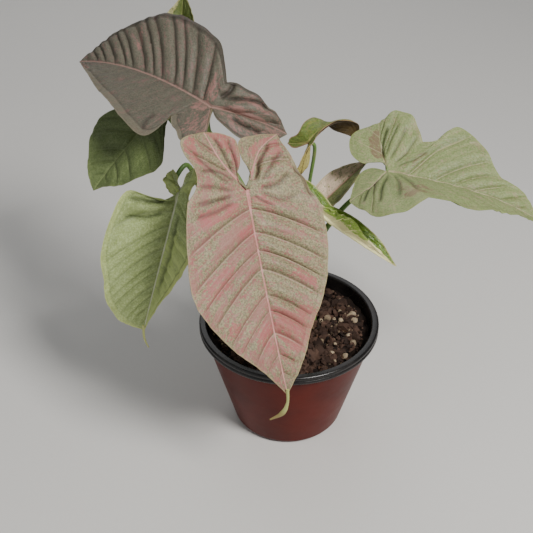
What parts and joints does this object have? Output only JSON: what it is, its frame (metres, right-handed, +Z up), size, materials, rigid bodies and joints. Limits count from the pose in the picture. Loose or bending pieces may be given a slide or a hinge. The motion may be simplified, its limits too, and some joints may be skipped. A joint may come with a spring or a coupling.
{
  "type": "potted arrowhead plant",
  "caption": "Young arrowhead plant with pink and green arrow-shaped leaves on arching petioles, standing in soil in a round tapered plastic pot with a dark rim",
  "frame": {"origin": "centre of the pot's flat underside", "axes": "+Z up, -Y towards the side where the largest hanging leaf faces, +X to its right"},
  "size_m": [0.2791, 0.1749, 0.2738],
  "materials": {
    "pot_plastic": "semi-gloss red-brown outside, black inside and on the rim",
    "soil": "dry crumbly bark and coir mix with pale pumice",
    "stem": "smooth, waxy, with pale sheaths",
    "pink_leaf": "satin, dusty sage and cream marbled with pink",
    "pale_leaf": "satin, pale green with pinkish veins",
    "green_leaf": "satin mid green",
    "young_leaf": "glossy light yellow-green"
  },
  "bodies": {
    "root": {"pot": "pot_plastic", "soil": "soil", "stem_left": "stem", "stem_back": "stem", "stem_right": "stem", "leaf_front": "pink_leaf", "leaf_upper_left": "pink_leaf", "leaf_pink": "pink_leaf", "leaf_right": "pale_leaf", "leaf_lower_left": "pale_leaf", "leaf_left": "green_leaf", "leaf_top": "green_leaf", "leaf_arched": "young_leaf", "leaf_young": "young_leaf"}
  },
  "joints": []
}
